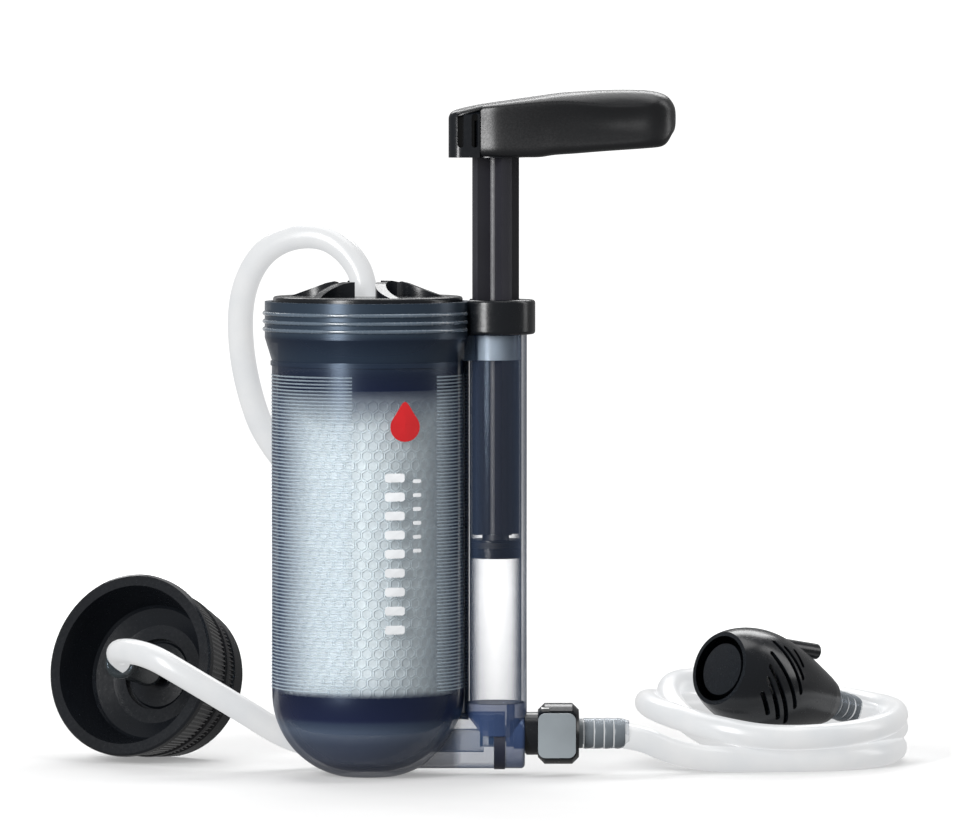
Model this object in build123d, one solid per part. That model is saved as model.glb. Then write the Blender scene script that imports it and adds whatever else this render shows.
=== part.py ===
from build123d import *
import os
from math import cos, pi, radians, sin, tan

# Pump water filter. Millimetres. The origin is the centre of the flat under the
# housing's dome, +Z runs up the housing axis, +X points from the housing to the pump.

# Filter housing
BARREL_R = 28.6
WALL = 1.8
BASE_FLAT_R = 9.0
DOME_TOP = 25.0
DOME_MID = (22.0, 7.6)
TAPER_BOTTOM = 123.8
COLLAR_BOTTOM = 130.6
COLLAR_TOP = 141.3
COLLAR_R = 30.7
COLLAR_BORE_R = 28.8
SHOULDER_Z = 129.2

# Lid
LID_R = 28.2
LID_TOP = 142.8
LID_PLATE = 3.2
PLUG_R = 28.7
LID_HOLE_R = 5.6
FIN_COUNT = 6
FIN_TURN = 52.0
FIN_PEAK = 147.2

# Pump
PUMP_X = 38.0
CYLINDER_R = 9.3
CYLINDER_BORE_R = 7.7
CHAMBER_FLOOR = 21.7
CYLINDER_TOP = 138.8
PUMP_CAP_R = 11.8
PUMP_CAP_BOTTOM = 131.5
PUMP_CAP_TOP = 141.8
GUIDE_BOTTOM = 123.9
ROD_R = 7.2
ROD_FIN = 3.4
ROD_TURN = 28.0
PISTON_BOTTOM = 64.9
PISTON_TOP = 70.4
PISTON_RING_Z = 68.8
PISTON_NECK = 1.5

# Foot and valves
FOOT_Z = 10.3
FOOT_R = 8.3
FOOT_BORE_R = 3.5
FOOT_END = 37.5
SEAL_END = 40.8
BLOCK_END = 46.7
FLOW_Z = 12.4
VALVE_R = 3.5
VALVE_CHAMBER_R = 4.0
PORT_X = 42.5

# Quick connector
NECK_R = 6.4
NECK_END = 50.6
BODY_END = 62.8
BODY_R = 9.1
INSERT_END = 76.5
BARB_R = 3.3
BARB_PITCH = 3.4
BARB_ROOT_R = 2.6
BARB_BORE_R = 1.6

# Hoses
HOSE_R = 3.8
SLEEVE_R = 4.6
COIL_CENTRE = (122.0, 43.6)
COIL_OUT_R = 41.4
COIL_IN_R = 33.8
COIL_MID_H = 20.0
COIL_SLOPE_X = -0.045
COIL_SLOPE_Y = 0.135

# Handle
HANDLE_BOTTOM = 184.0
HANDLE_TOP = 204.2
HANDLE_LEFT = 24.0
HANDLE_RIGHT = 91.6
HUB_END = 33.3
HUB_TOP = 198.0
GRIP_HALF = 11.0

# Bottle adapter, in its own frame: +Z leaves the open side, the rim is at zero
CUP_TILT = 14.0
CUP_TURN = 28.0
CUP_RIM_R = 28.0
CUP_REAR_R = 23.6
CUP_DEPTH = 28.5
CUP_CONTACT = (-62.8, 59.0)
CUP_WEB_TOP = -17.0
CUP_WEB_BOTTOM = -19.5
CUP_HOLE_R = 11.0
SOCKET_R = 19.5
SOCKET_DEPTH = 7.0

# Prefilter, in its own frame: +Z leaves the mouth, the mouth is at zero
MOUTH_CENTRE = (105.2, 15.5, 30.6)
STRAINER_AXIS = (-0.72, -0.637, 0.27)
STRAINER_LENGTH = 45.5
STRAINER_BARB = 60.0
MOUTH_R = 11.2
BULB_R = 15.2

GAP = 0.05


def tube(outer, inner, low, high, x=0.0, y=0.0):
    """An upright tube between two heights; inner 0 makes it solid."""
    body = Pos(x, y, (low + high) / 2) * Cylinder(outer, high - low)
    if inner > 0:
        body -= Pos(x, y, (low + high) / 2) * Cylinder(inner, high - low + 2)
    return body


def rod_x(outer, inner, left, right, z, y=0.0):
    """A tube along X between two places; inner 0 makes it solid."""
    place = Pos((left + right) / 2, y, z) * Rot(0, 90, 0)
    body = place * Cylinder(outer, right - left)
    if inner > 0:
        body -= place * Cylinder(inner, right - left + 2)
    return body


def block(x, y, z):
    """A box from three (low, high) pairs."""
    centre = [(low + high) / 2 for low, high in (x, y, z)]
    return Pos(*centre) * Box(x[1] - x[0], y[1] - y[0], z[1] - z[0])


def turned_points(points):
    """A solid turned about Z from (radius, height) points."""
    return revolve(Plane.XZ * make_face(Polyline(*points, close=True)), Axis.Z)


def bowl(radius, flat, mid, dome_top, bottom, top_points):
    """A round-bottomed solid: a flat, a dome arc, then straight runs to the axis."""
    last = top_points[-1]
    outline = [
        Line((0, bottom), (flat, bottom)),
        ThreePointArc((flat, bottom), mid, (radius, dome_top)),
        Polyline((radius, dome_top), *top_points),
        Polyline(last, (0, last[1]), (0, bottom)),
    ]
    return revolve(Plane.XZ * make_face(outline), Axis.Z)


def barb_profile(start, end):
    """Outline of a ridged hose barb along +Z, from its root to its tip."""
    count = round((end - start) / BARB_PITCH)
    pitch = (end - start) / count
    points = [(BARB_BORE_R, start)]
    for ridge in range(count):
        foot = start + ridge * pitch
        points += [(BARB_R, foot), (BARB_ROOT_R, foot + pitch)]
    return points + [(BARB_BORE_R, end)]


def barb(start, end):
    return turned_points(barb_profile(start, end))


def write(shape, node):
    export_step(shape, "parts/" + node + ".step")


# ---------------------------------------------------------------- housing

def filter_housing():
    outer = bowl(BARREL_R, BASE_FLAT_R, DOME_MID, DOME_TOP, 0, [
        (BARREL_R, TAPER_BOTTOM), (COLLAR_R, COLLAR_BOTTOM), (COLLAR_R, COLLAR_TOP)])
    inner = bowl(BARREL_R - WALL, BASE_FLAT_R - 0.6, (DOME_MID[0] - 1.4, DOME_MID[1] + 1.2),
                 DOME_TOP, WALL, [
        (BARREL_R - WALL, SHOULDER_Z), (COLLAR_BORE_R, SHOULDER_Z), (COLLAR_BORE_R, COLLAR_TOP + 1)])
    rings = [tube(COLLAR_R + 0.3, COLLAR_R - 0.5, z, z + 0.9) for z in (132.7, 134.9, 137.3)]
    bead = tube(BARREL_R + 0.4, BARREL_R - 0.5, 122.3, 123.6)
    foot = rod_x(FOOT_R, 0, 14, FOOT_END, FOOT_Z)
    arm = block((24, PUMP_X - 5), (-7, 7), (TAPER_BOTTOM, PUMP_CAP_BOTTOM - 0.3))
    gusset = Plane.XZ * make_face(Polyline((24, 116), (28.8, 116), (32, TAPER_BOTTOM),
                                           (24, TAPER_BOTTOM), close=True))
    body = outer + foot + arm + extrude(gusset, 1.2, both=True) + bead + rings
    body -= inner
    body -= rod_x(FOOT_BORE_R, 0, 10, FOOT_END - 3, FOOT_Z)
    body -= rod_x(VALVE_CHAMBER_R, 0, FOOT_END - 4.2, FOOT_END + 1, FLOW_Z)
    return body - tube(CYLINDER_R + GAP, 0, FOOT_Z + FOOT_R, 150, PUMP_X)


def foot_seal_ring():
    ring = rod_x(FOOT_R + 0.3, 0, FOOT_END, SEAL_END, FOOT_Z)
    return ring - rod_x(4.7, 0, FOOT_END - 1, SEAL_END + 1, FLOW_Z)


def valve_block():
    body = rod_x(FOOT_R, 0, SEAL_END, BLOCK_END, FOOT_Z)
    body = fillet(body.edges().filter_by(GeomType.CIRCLE).sort_by(Axis.X)[-1], 1.2)
    saddle = tube(CYLINDER_R, 0, FOOT_Z + 2, CHAMBER_FLOOR, PUMP_X)
    saddle -= rod_x(FOOT_R + 0.35, 0, PUMP_X - 12, SEAL_END, FOOT_Z)
    body += saddle
    body += rod_x(4.6, 0, FOOT_END, SEAL_END, FLOW_Z)
    body -= rod_x(2.4, 0, FOOT_END - 1, PORT_X, FLOW_Z)
    body -= rod_x(VALVE_CHAMBER_R, 0, 41.2, 43.4, FLOW_Z)
    body -= rod_x(4.6, 0, 43.4, BLOCK_END + 2, FLOW_Z)
    return body - tube(1.2, 0, FLOW_Z, CHAMBER_FLOOR + 1, PORT_X)


def outlet_valve_cage():
    ring = rod_x(VALVE_CHAMBER_R - GAP, 2.9, FOOT_END - 4.2, FOOT_END - 3.3, FLOW_Z)
    bars = [Pos(FOOT_END - 3.75, 0, FLOW_Z) * Rot(turn, 0, 0) * Box(0.9, 0.9, 7.0)
            for turn in (0, 90)]
    return ring + bars


def valve_disc(left, right):
    disc = rod_x(VALVE_R, 0, left, right, FLOW_Z)
    return chamfer(disc.edges().filter_by(GeomType.CIRCLE), 0.2)


# ---------------------------------------------------------------- cartridge

def cartridge_top_cap():
    cap = tube(25.9, 0, 115.5, 119.5)
    cap = chamfer(cap.edges().filter_by(GeomType.CIRCLE).sort_by(Axis.Z)[-1], 1.0)
    cap += tube(8.0, 0, 119.5, 125.0)
    return cap - tube(4.2, 0, 110, 130)


def cartridge_bottom_cap():
    cap = bowl(25.4, 14.0, (22.4, 15.6), 21.0, 13.5, [(25.4, 24.8)])
    return cap - tube(6.0, 0, 20.0, 26.0)


def pleated_media():
    """A ring of folded sheet: its outline goes in and out around the core."""
    folds, outer, inner = 60, 25.0, 14.2
    outline = []
    for fold in range(folds):
        for radius, share in ((outer, 0.0), (inner + 0.9, 0.5)):
            angle = 2 * pi * (fold + share) / folds
            outline.append((radius * cos(angle), radius * sin(angle)))
    sheet = Pos(0, 0, 24.9) * extrude(make_face(Polyline(*outline, close=True)), 90.5)
    return sheet - tube(inner, 0, 20, 120)


def protector_sleeve():
    return tube(25.7, 25.1, 24.9, 115.4)


def carbon_core():
    return tube(14.1, 7.1, 24.9, 115.4)


def core_tube():
    """Perforated tube in the middle of the cartridge."""
    body = tube(7.0, 5.6, 24.9, 115.4)
    for row in range(8):
        for turn in (0, 90):
            body -= Pos(0, 0, 31 + 11 * row) * Rot(0, 90, turn + 45 * (row % 2)) * Cylinder(1.6, 20)
    return body


# ---------------------------------------------------------------- outlet and lid

def outlet_barb():
    """Fixed spigot in the cartridge neck; the lid turns around it."""
    body = turned_points([(BARB_BORE_R, 120.5), (4.1, 120.5), (4.1, 122.0), (3.2, 122.0),
                          (3.2, 123.6), (4.1, 123.6), (4.1, 125.05), (6.6, 125.05), (6.6, 127.0),
                          (4.0, 127.0), (4.0, 132.0), (BARB_BORE_R, 132.0)])
    return body + barb(132.0, 141.0)


def outlet_o_ring():
    return tube(5.5, 4.05, 128.6, 130.4)


def fin(index):
    """One swirl grip fin: a curved upright strip cut down by a sloping profile."""
    strip = make_face([
        ThreePointArc((8.8, 0), (15, -3.2), (24.5, -1.0)),
        Line((24.5, -1.0), (24.6, 1.6)),
        ThreePointArc((24.6, 1.6), (15, 0.0), (9.6, 2.8)),
        Line((9.6, 2.8), (8.8, 0)),
    ])
    wall = Pos(0, 0, LID_TOP - 0.5) * extrude(strip, 8)
    crest = turned_points([(6.5, LID_TOP - 1), (6.5, LID_TOP + 2), (8.2, FIN_PEAK - 0.4),
                           (10.2, FIN_PEAK), (12.5, FIN_PEAK - 0.5), (23.2, LID_TOP),
                           (25.5, LID_TOP - 0.4), (25.5, LID_TOP - 1)])
    return Rot(0, 0, index * 360 / FIN_COUNT + FIN_TURN) * (wall & crest)


def housing_cap():
    plate = tube(LID_R, 0, LID_TOP - LID_PLATE, LID_TOP)
    plate = fillet(plate.edges().filter_by(GeomType.CIRCLE).sort_by(Axis.Z)[-1], 0.8)
    skirt = tube(PLUG_R, 25.4, 130.8, LID_TOP - LID_PLATE)
    boss = tube(8.6, 0, 128.2, LID_TOP - LID_PLATE)
    spokes = [Rot(0, 0, turn) * block((8, 25.8), (-1, 1), (134, LID_TOP - LID_PLATE))
              for turn in range(0, 360, 60)]
    body = plate + skirt + boss + spokes + [fin(index) for index in range(FIN_COUNT)]
    return body - tube(LID_HOLE_R, 0, 120, 160)


def cap_gasket():
    return tube(28.4, 26.9, SHOULDER_Z + GAP, 130.8)


# ---------------------------------------------------------------- pump

def pump_cylinder():
    return tube(CYLINDER_R, CYLINDER_BORE_R, CHAMBER_FLOOR, CYLINDER_TOP, PUMP_X)


def pump_top_cap():
    cap = tube(PUMP_CAP_R, 0, PUMP_CAP_BOTTOM, PUMP_CAP_TOP, PUMP_X)
    cap = fillet(cap.edges().filter_by(GeomType.CIRCLE), 1.0)
    cap -= tube(CYLINDER_R + GAP, 0, PUMP_CAP_BOTTOM - 1, CYLINDER_TOP + GAP, PUMP_X)
    cap -= tube(ROD_R + 0.1, 0, 130, 145, PUMP_X)
    return cap - tube(COLLAR_R + 0.7, 0, 120, 150)


def rod_guide():
    return tube(CYLINDER_BORE_R - 0.02, ROD_R + 0.08, GUIDE_BOTTOM, 131.2, PUMP_X)


def rod_wiper():
    return tube(CYLINDER_BORE_R - 0.02, ROD_R + 0.06, 134.0, 136.4, PUMP_X)


def piston_head():
    body = tube(CYLINDER_BORE_R - 0.08, 0, PISTON_BOTTOM, PISTON_TOP, PUMP_X)
    body -= tube(10, 6.0, PISTON_RING_Z - 0.9, PISTON_RING_Z + 0.9, PUMP_X)
    return body - tube(4.1, 0, PISTON_TOP - 4.0, PISTON_TOP + 1, PUMP_X)


def piston_o_ring():
    return tube(CYLINDER_BORE_R - 0.02, 6.0, PISTON_RING_Z - 0.85, PISTON_RING_Z + 0.85, PUMP_X)


def piston_rod():
    """Cruciform rod: four fins round a core, with a round neck down into the piston."""
    low, high = PISTON_TOP + PISTON_NECK, HANDLE_BOTTOM + 6.0
    outline = Circle(ROD_R) & (Rectangle(ROD_FIN, 20) + Rectangle(20, ROD_FIN))
    outline += Circle(3.2)
    body = Pos(PUMP_X, 0, low) * Rot(0, 0, ROD_TURN) * extrude(outline, high - low)
    body += tube(4.0, 0, PISTON_TOP - 3.6, low, PUMP_X)
    return body - tube(1.5, 0, HANDLE_BOTTOM - 4.0, high + 1, PUMP_X)


# ---------------------------------------------------------------- handle

BOSS_R = 9.0
BOSS_TOP = 195.0
TONGUE = block((HUB_END, 80), (-5.5, 5.5), (188, BOSS_TOP))


def handle_core():
    hub = block((HANDLE_LEFT, HUB_END), (-9.4, 9.4), (HANDLE_BOTTOM, HUB_TOP))
    hub = fillet(hub.edges().filter_by(Axis.Z).sort_by(Axis.X)[:2], 4.0)
    hub = fillet(hub.edges().filter_by(Axis.Y).group_by(Axis.Z)[-1].sort_by(Axis.X)[0], 2.5)
    for x in (27.6, 31.8):
        slot = Plane.XZ * Pos(x, 192.0) * SlotOverall(10.0, 1.9, rotation=90)
        hub -= extrude(slot, 20, both=True) - block((20, 40), (-6.4, 6.4), (180, 200))
    core = hub + tube(BOSS_R, 0, HANDLE_BOTTOM, BOSS_TOP, PUMP_X) + TONGUE
    core -= tube(ROD_R + GAP, 0, HANDLE_BOTTOM - 1, HANDLE_BOTTOM + 6.05, PUMP_X)
    core -= tube(1.6, 0, HANDLE_BOTTOM, 196, PUMP_X)
    return core - tube(3.3, 0, 192.0, 196, PUMP_X)


def handle_grip():
    side = make_face([
        Polyline((HUB_END + GAP, HUB_TOP + 0.6), (HUB_END + GAP, HANDLE_BOTTOM), (60, HANDLE_BOTTOM)),
        Spline((60, HANDLE_BOTTOM), (72, 185.8), (86, 187.0), tangents=((1, 0), (1, 0.05))),
        ThreePointArc((86, 187.0), (90.2, 189.2), (HANDLE_RIGHT, 194.5)),
        ThreePointArc((HANDLE_RIGHT, 194.5), (90.4, 200.8), (84, HANDLE_TOP)),
        Spline((84, HANDLE_TOP), (62, 202.6), (HUB_END + GAP, HUB_TOP + 0.6),
               tangents=((-1, 0), (-1, -0.22))),
    ])
    body = extrude(Plane.XZ * side, GRIP_HALF, both=True)
    plan = block((HUB_END - 10, HANDLE_RIGHT + 1), (-GRIP_HALF, GRIP_HALF), (170, 220))
    plan = fillet(plan.edges().filter_by(Axis.Z).sort_by(Axis.X)[-2:], 8.5)
    body = body & plan
    top = body.edges().filter_by(lambda edge: abs(edge.center().Y) > GRIP_HALF - 0.1)
    body = fillet([edge for edge in top if edge.length > 20], 3.2)
    body -= tube(BOSS_R, 0, HANDLE_BOTTOM - 1, BOSS_TOP, PUMP_X)
    return body - TONGUE


def handle_screw():
    return tube(1.45, 0, HANDLE_BOTTOM - 3.5, 192.0, PUMP_X) + tube(3.2, 0, 192.0, 194.4, PUMP_X)


# ---------------------------------------------------------------- quick connector

LATCH_SLOT = (54.4, 56.2)


def connector_body():
    spigot = rod_x(4.55, 0, 43.45, NECK_END, FLOW_Z)
    neck = rod_x(NECK_R, 0, BLOCK_END + GAP, NECK_END + 1, FLOW_Z)
    neck -= tube(CYLINDER_R + GAP, 0, 0, 30, PUMP_X)
    shell = rod_x(BODY_R, 0, NECK_END, BODY_END, FLOW_Z)
    shell = chamfer(shell.edges().filter_by(GeomType.CIRCLE), 2.0)
    body = spigot + neck + shell
    body -= block((NECK_END - 0.2, 62.0), (-12, -5.1), (FLOW_Z - 7.2, FLOW_Z + 7.2))
    body -= block((LATCH_SLOT[0] - 0.1, LATCH_SLOT[1] + 0.1), (-12, 6.8), (FLOW_Z - 6.1, FLOW_Z + 6.1))
    body -= block((51.6, 54.0), (-12, 12), (FLOW_Z + 6.9, FLOW_Z + 8.0))
    body -= rod_x(4.1, 0, 48.0, BODY_END + 1, FLOW_Z)
    return body - rod_x(1.7, 0, 43, 50, FLOW_Z)


def thumb_latch():
    """Thumb pad on the front with a plate that crosses the insert's groove."""
    pad = block((NECK_END, 61.8), (-8.9, -7.0), (FLOW_Z - 6.6, FLOW_Z + 6.6))
    pad = fillet(pad.edges().filter_by(Axis.Y), 2.2)
    plate = block(LATCH_SLOT, (-7.2, 3.6), (FLOW_Z - 5.9, FLOW_Z + 5.9))
    return pad + plate - rod_x(4.1, 0, 54, 57, FLOW_Z, -0.95)


def latch_spring():
    """Bowed leaf between the plate's end and the back of the slot."""
    leaf = make_face([
        ThreePointArc((6.6, -5.0), (3.75, 0), (6.6, 5.0)),
        Line((6.6, 5.0), (6.2, 5.2)),
        ThreePointArc((6.2, 5.2), (3.65, 0), (6.2, -5.2)),
        Line((6.2, -5.2), (6.6, -5.0)),
    ])
    return Pos(54.7, 0, FLOW_Z) * extrude(Plane.YZ * leaf, 1.2)


def hose_insert():
    profile = [(BARB_BORE_R, 50.2), (3.6, 50.2), (3.6, 51.2), (2.9, 51.2), (2.9, 52.6), (3.6, 52.6),
               (3.6, 54.3), (3.1, 54.3), (3.1, 56.3), (4.0, 56.3), (4.0, BODY_END + GAP),
               (4.4, BODY_END + GAP), (4.4, BODY_END + 1.2), (BARB_BORE_R, BODY_END + 1.2)]
    body = turned_points(profile) + barb(BODY_END + 1.2, INSERT_END)
    return Pos(0, 0, FLOW_Z) * Rot(0, 90, 0) * body


def insert_o_ring():
    return rod_x(3.95, 2.95, 51.3, 52.5, FLOW_Z)


# ---------------------------------------------------------------- bottle adapter

def cup_frame():
    """The rim's plane, with the rear edge resting on the ground."""
    tilt, turn = radians(CUP_TILT), radians(CUP_TURN)
    axis = Vector(-cos(tilt) * sin(turn), -cos(tilt) * cos(turn), sin(tilt))
    lift = Vector(0, 0, 1) - axis * sin(tilt)
    lift = lift * (1 / lift.length)
    rear = Vector(CUP_CONTACT[0], CUP_CONTACT[1], 0) + lift * CUP_REAR_R
    rim = rear + axis * CUP_DEPTH
    return Plane(origin=rim, x_dir=lift.cross(axis), z_dir=axis)


def adapter_cup():
    rear = -CUP_DEPTH
    body = turned_points([
        (CUP_RIM_R - 3.6, 0), (CUP_RIM_R - 0.6, 0), (CUP_RIM_R, -0.6), (CUP_RIM_R, -2.4),
        (CUP_RIM_R - 1.2, -3.2), (CUP_REAR_R + 1.6, -14.6), (CUP_REAR_R + 2.2, -15.0),
        (CUP_REAR_R + 2.2, -16.2), (CUP_REAR_R + 0.9, -16.8), (CUP_REAR_R + 0.4, -21.5),
        (CUP_REAR_R + 1.0, -22.0), (CUP_REAR_R + 1.0, -23.0), (CUP_REAR_R, -23.6),
        (CUP_REAR_R, rear), (SOCKET_R, rear), (SOCKET_R, rear + SOCKET_DEPTH),
        (18.4, rear + SOCKET_DEPTH), (18.4, CUP_WEB_BOTTOM), (CUP_HOLE_R, CUP_WEB_BOTTOM),
        (CUP_HOLE_R, CUP_WEB_TOP), (15.2, CUP_WEB_TOP), (20.0, -14.6), (20.8, -13.7)])
    return cup_frame() * body


def adapter_barb():
    disc = turned_points([(BARB_BORE_R, CUP_WEB_BOTTOM - 1.9), (12.6, CUP_WEB_BOTTOM - 1.9),
                          (12.6, CUP_WEB_BOTTOM - GAP), (10.4, CUP_WEB_BOTTOM - GAP),
                          (9.8, CUP_WEB_BOTTOM + 1.0), (5.0, CUP_WEB_BOTTOM + 1.6),
                          (BARB_BORE_R, CUP_WEB_BOTTOM + 1.6)])
    return cup_frame() * (disc + barb(CUP_WEB_BOTTOM + 1.6, -7.0))


def adapter_gasket():
    return cup_frame() * tube(18.3, 12.8, CUP_WEB_BOTTOM - 1.95, CUP_WEB_BOTTOM - GAP)


# ---------------------------------------------------------------- prefilter

def strainer_frame():
    axis = Vector(*STRAINER_AXIS).normalized()
    level = Vector(0, 0, 1).cross(axis).normalized()
    return Plane(origin=MOUTH_CENTRE, x_dir=level, z_dir=axis)


def bulb(outset, rear):
    """The strainer's round outline, moved in by outset, down to a rear depth."""
    outline = [
        Line((0, 0), (MOUTH_R - outset, 0)),
        Spline((MOUTH_R - outset, 0), (13.9 - outset, -6), (BULB_R - outset, -15),
               (14.1 - outset, -24), (11.6 - outset, -33), (8.3 - outset, rear + 3.0)),
        Polyline((8.3 - outset, rear + 3.0), (7.0 - outset, rear), (0, rear), (0, 0)),
    ]
    return revolve(Plane.XZ * make_face(outline), Axis.Z)


SCREEN_END = -36.0
SLOT_WIDTH = 1.5
# Depth from the mouth, angle round the axis, lean and length of each slot
SLOTS = (
    (10.0, -33, 47, 9.4), (12.5, -25, 45, 16.3), (14.9, -19, 45, 22.3), (14.8, 2, 44, 20.2),
    (16.0, 21, 38, 18.8), (17.8, 27, 38, 12.0), (20.1, 35, 26, 6.4))


def slot_cut(depth, angle, lean, length):
    """One slanted slot through the strainer's side, with round ends."""
    cutter = extrude(SlotOverall(length, SLOT_WIDTH), 12)
    place = Rot(0, 0, angle) * Pos(8, 0, -depth) * Rot(lean, 0, 0) * Rot(0, 90, 0)
    return place * Rot(0, 0, 90) * cutter


def prefilter_body():
    rear = -STRAINER_LENGTH
    body = bulb(0, rear) - Pos(0, 0, 1) * bulb(1.8, rear + 3.0)
    body -= tube(MOUTH_R - 1.2, 0, -4, 2)
    body -= tube(4.3, 0, rear - 1, rear + 6)
    return strainer_frame() * (body - [slot_cut(*slot) for slot in SLOTS])


def prefilter_weight():
    """Round weight in the mouth, on a stem that meets the barb's plug."""
    return strainer_frame() * (tube(7.9, 0, -9.0, -1.2) + tube(2.4, 0, SCREEN_END, -9.0))


def prefilter_screen():
    return strainer_frame() * tube(5.6, 5.0, SCREEN_END, -9.05)


def prefilter_barb():
    rear = -STRAINER_LENGTH
    plug = turned_points([(BARB_BORE_R, SCREEN_END - GAP), (5.6, SCREEN_END - GAP),
                          (5.6, SCREEN_END - 2), (4.2, SCREEN_END - 2),
                          (4.2, rear - 0.6), (BARB_BORE_R, rear - 0.6)])
    stem = Rot(180, 0, 0) * barb(-rear + 0.6, STRAINER_BARB)
    return strainer_frame() * (plug + stem)


def prefilter_float_peg(strainer):
    start, end = Vector(124.5, 34.4, 35.9), Vector(135.4, 44.0, 33.4)
    axis = end - start
    peg = Plane(origin=start, z_dir=axis) * Pos(0, 0, axis.length / 2) * Cylinder(2.4, axis.length)
    outer = strainer_frame() * bulb(-GAP, -STRAINER_LENGTH)
    return peg - outer - strainer


# ---------------------------------------------------------------- hoses

def arc_radii(points):
    """The largest arc each corner's runs allow."""
    radii = []
    for before, here, after in zip(points, points[1:], points[2:]):
        first, second = here - before, after - here
        turn = radians(first.get_angle(second))
        radii.append(0.45 * min(first.length, second.length) / tan(turn / 2))
    return radii


def hose(name, route):
    """A plain hose along a route of straight runs joined by tangent arcs."""
    points = [Vector(*point) for point in route]
    radii = arc_radii(points)
    path = FilletPolyline(*points, radius=radii)
    body = sweep(Plane(origin=path @ 0, z_dir=path % 0) * Circle(HOSE_R), path=path)
    share = body.volume / (pi * HOSE_R ** 2 * path.length)
    print(name, "length", round(path.length, 1), "volume share", round(share, 4),
          "radii", [round(radius, 1) for radius in radii])
    return body


def along(frame, x, y, z):
    """A local point of a frame, in the part's own frame."""
    point = frame.from_local_coords((x, y, z))
    return (point.X, point.Y, point.Z)


CUP = cup_frame()
OUTLET_ROUTE = [
    (0, 0, 132.4),
    (-0.4, 0.3, 146.5),
    (-5.4, 2.0, 155.6),
    (-13.6, 5.0, 160.9),
    (-24.2, 9.0, 160.2),
    (-33.0, 13.5, 154.4),
    (-38.2, 18.0, 143.0),
    (-38.8, 22.0, 129.0),
    (-36.5, 26.0, 114.0),
    (-31.5, 30.5, 99.0),
    (-19.0, 37.0, 84.0),
    (-5.0, 43.0, 71.0),
    (9.0, 47.5, 58.5),
    (19.6, 50.0, 42.5),
    (22.0, 50.0, 24.6),
    (15.9, 46.1, 11.8),
    (5.4, 39.3, 4.5),
    (-9.0, 29.5, 4.6),
    (-24.0, 18.8, 8.8),
    (-39.0, 10.8, 19.2),
    (-54.0, 8.6, 28.4),
    (-66.5, 12.5, 35.4),
    along(CUP, 1.0, 2.5, 11.5),
    along(CUP, 0, 0.3, 1.0),
    along(CUP, 0, 0, -12.5),
]
LEAD_ROUTE = [
    (BODY_END + 1.4, 0, FLOW_Z),
    (78.6, 0, FLOW_Z),
    (91.6, 2.6, 6.0),
    (104.4, 6.0, 4.0),
    (118.0, 8.8, 3.85),
]
STRAINER = strainer_frame()
TAIL_ROUTE = [
    along(STRAINER, 0, 0, -STRAINER_LENGTH - 0.8),
    along(STRAINER, 0, 0, -STRAINER_BARB - 1.5),
    (157.4, 54.6, 12.0),
]


def hose_end(frame, start, end):
    """The stretched hose end over a barb, and the space that the barb takes in it."""
    middle = (start + end) / 2
    length = abs(end - start)
    sleeve = frame * Pos(0, 0, middle) * Cylinder(SLEEVE_R, length)
    hollow = frame * Pos(0, 0, middle) * Cylinder(BARB_R + GAP, length + 4)
    return sleeve, hollow


def outlet_hose():
    body = hose("outlet_hose", OUTLET_ROUTE)
    sleeve, hollow = hose_end(CUP, -6.6, -12.5)
    return body + sleeve - hollow - tube(BARB_R + GAP, 0, 130, 141.1)


def inlet_hose_lead():
    body = hose("inlet_hose_lead", LEAD_ROUTE)
    sleeve, _ = hose_end(Plane.YZ, BODY_END + 1.4, INSERT_END + 0.6)
    sleeve = Pos(0, 0, FLOW_Z) * sleeve
    return body + sleeve - rod_x(BARB_R + GAP, 0, 60, INSERT_END + 0.2, FLOW_Z)


def inlet_hose_tail():
    body = hose("inlet_hose_tail", TAIL_ROUTE)
    sleeve, _ = hose_end(STRAINER, -STRAINER_LENGTH - 0.8, -STRAINER_BARB - 0.4)
    hollow = STRAINER * tube(BARB_R + GAP, 0, -STRAINER_BARB - 0.2, -STRAINER_LENGTH)
    return body + sleeve - hollow


def inlet_hose_coil(lead, tail, strainer):
    """The hank's outer shape: a ring, higher at the back where three turns lie."""
    x, y = COIL_CENTRE
    ring = tube(COIL_OUT_R, COIL_IN_R, 0, COIL_MID_H + 12, x, y)
    top = Plane(origin=(x, y, COIL_MID_H), z_dir=(-COIL_SLOPE_X, -COIL_SLOPE_Y, 1))
    ring = split(ring, bisect_by=top, keep=Keep.BOTTOM)
    sleeve, _ = hose_end(STRAINER, -STRAINER_LENGTH - 0.8, -STRAINER_BARB - 0.4)
    return ring - lead - tail - sleeve - strainer


# ---------------------------------------------------------------- writing

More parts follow.
